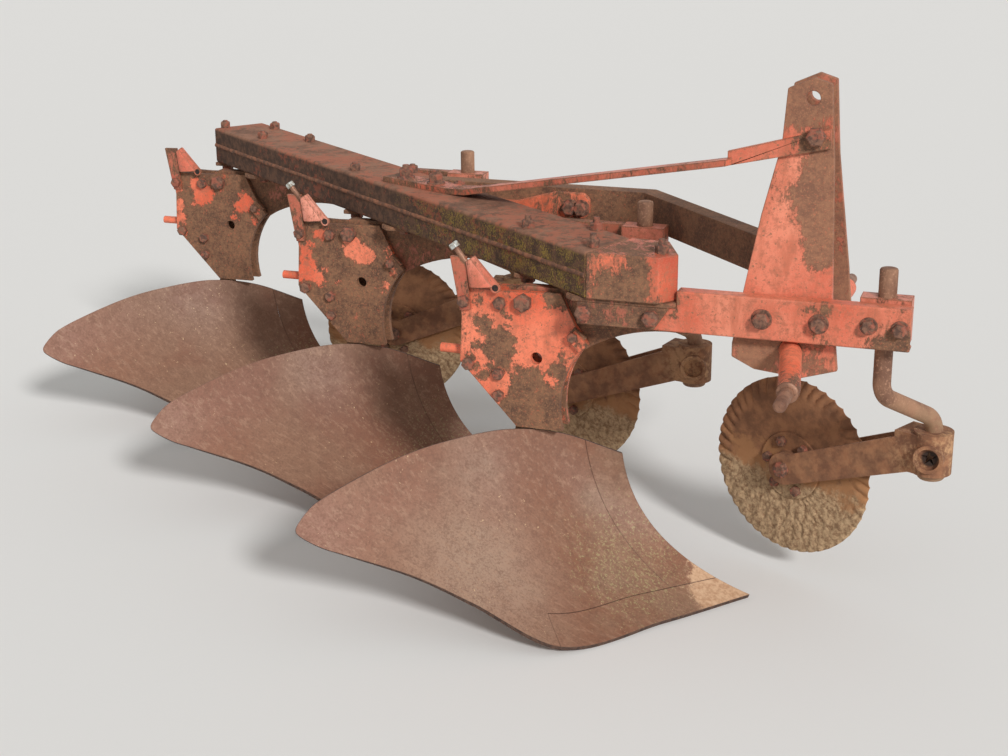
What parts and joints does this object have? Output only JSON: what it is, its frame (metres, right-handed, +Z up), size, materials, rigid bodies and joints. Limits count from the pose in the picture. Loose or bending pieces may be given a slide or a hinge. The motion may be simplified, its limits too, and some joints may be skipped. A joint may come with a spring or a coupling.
{
  "type": "moldboard plough",
  "caption": "Mounted right-hand moldboard plough: diagonal box beam, tripping bottoms with share, shin, moldboard and landside, swivelling disc coulters, three-point hitch mast.",
  "frame": {"origin": "centre of the upper link hole, midway between the two mast plates", "axes": "+X forward, the way the plough is towed; +Y to the left, across the furrow and along the link holes; +Z up"},
  "size_m": [2.1704, 1.3301, 1.0123],
  "materials": {
    "red_paint": "faded gloss with rust patches",
    "rusted_paint": "worn to rust",
    "dark_rust": "dark rust",
    "bare_steel": "weathered",
    "cast": "rough, soil in the hollows",
    "skin": "smooth, brown with light rust",
    "rusted_disc": "rusted, dried soil below"
  },
  "bodies": {
    "frame": {"main_beam": "rusted_paint", "beam_end_cap": "red_paint", "hitch_channel": "red_paint", "channel_angle": "rusted_paint", "mast_plate_right": "red_paint", "mast_plate_left": "red_paint", "mast_spacer": "rusted_paint", "mast_brace": "red_paint", "left_rail": "dark_rust", "rail_gusset": "red_paint", "hitch_shaft": "red_paint", "beam_bracket_1": "rusted_paint", "trip_beam_1": "rusted_paint", "coulter_clamp_1": "red_paint", "coulter_shank_1": "bare_steel", "beam_bracket_2": "rusted_paint", "trip_beam_2": "rusted_paint", "coulter_clamp_2": "red_paint", "coulter_shank_2": "bare_steel", "beam_bracket_3": "rusted_paint", "trip_beam_3": "rusted_paint", "coulter_clamp_3": "red_paint", "coulter_shank_3": "bare_steel"},
    "bottom_1": {"standard_1": "red_paint", "trip_adjuster_1": "red_paint", "frog_1": "cast", "share_1": "skin", "shin_1": "skin", "moldboard_1": "skin", "landside_1": "bare_steel"},
    "bottom_2": {"standard_2": "red_paint", "trip_adjuster_2": "red_paint", "frog_2": "cast", "share_2": "skin", "shin_2": "skin", "moldboard_2": "skin", "landside_2": "bare_steel"},
    "bottom_3": {"standard_3": "red_paint", "trip_adjuster_3": "red_paint", "frog_3": "cast", "share_3": "skin", "shin_3": "skin", "moldboard_3": "skin", "landside_3": "bare_steel"},
    "coulter_arm_1": {"coulter_arm_1": "cast"},
    "coulter_disc_1": {"coulter_disc_1": "rusted_disc"},
    "coulter_arm_2": {"coulter_arm_2": "cast"},
    "coulter_disc_2": {"coulter_disc_2": "rusted_disc"},
    "coulter_arm_3": {"coulter_arm_3": "cast"},
    "coulter_disc_3": {"coulter_disc_3": "rusted_disc"}
  },
  "joints": [
    {"name": "trip_1", "type": "hinge", "parent": "frame", "child": "bottom_1", "pos_m": [-0.508, -0.062, -0.392], "axis": [0, 1, 0], "range_deg": [0, 30]},
    {"name": "coulter_swivel_1", "type": "hinge", "parent": "frame", "child": "coulter_arm_1", "pos_m": [0.23994, 0.01819, -0.642], "axis": [0, 0, 1], "range_deg": [-4, 56]},
    {"name": "coulter_spin_1", "type": "hinge", "parent": "coulter_arm_1", "child": "coulter_disc_1", "pos_m": [-0.03509, 0.15233, -0.748], "axis": [0.4384, 0.8988, 0], "continuous": true},
    {"name": "trip_2", "type": "hinge", "parent": "frame", "child": "bottom_2", "pos_m": [-1.039, 0.344, -0.392], "axis": [0, 1, 0], "range_deg": [0, 30]},
    {"name": "coulter_swivel_2", "type": "hinge", "parent": "frame", "child": "coulter_arm_2", "pos_m": [-0.29106, 0.41319, -0.642], "axis": [0, 0, 1], "range_deg": [-18, 42]},
    {"name": "coulter_spin_2", "type": "hinge", "parent": "coulter_arm_2", "child": "coulter_disc_2", "pos_m": [-0.59037, 0.47681, -0.748], "axis": [0.2079, 0.9781, 0], "continuous": true},
    {"name": "trip_3", "type": "hinge", "parent": "frame", "child": "bottom_3", "pos_m": [-1.57, 0.75, -0.392], "axis": [0, 1, 0], "range_deg": [0, 30]},
    {"name": "coulter_swivel_3", "type": "hinge", "parent": "frame", "child": "coulter_arm_3", "pos_m": [-0.82206, 0.81919, -0.642], "axis": [0, 0, 1], "range_deg": [-38, 22]},
    {"name": "coulter_spin_3", "type": "hinge", "parent": "coulter_arm_3", "child": "coulter_disc_3", "pos_m": [-1.12508, 0.77661, -0.748], "axis": [-0.1392, 0.9903, 0], "continuous": true}
  ]
}
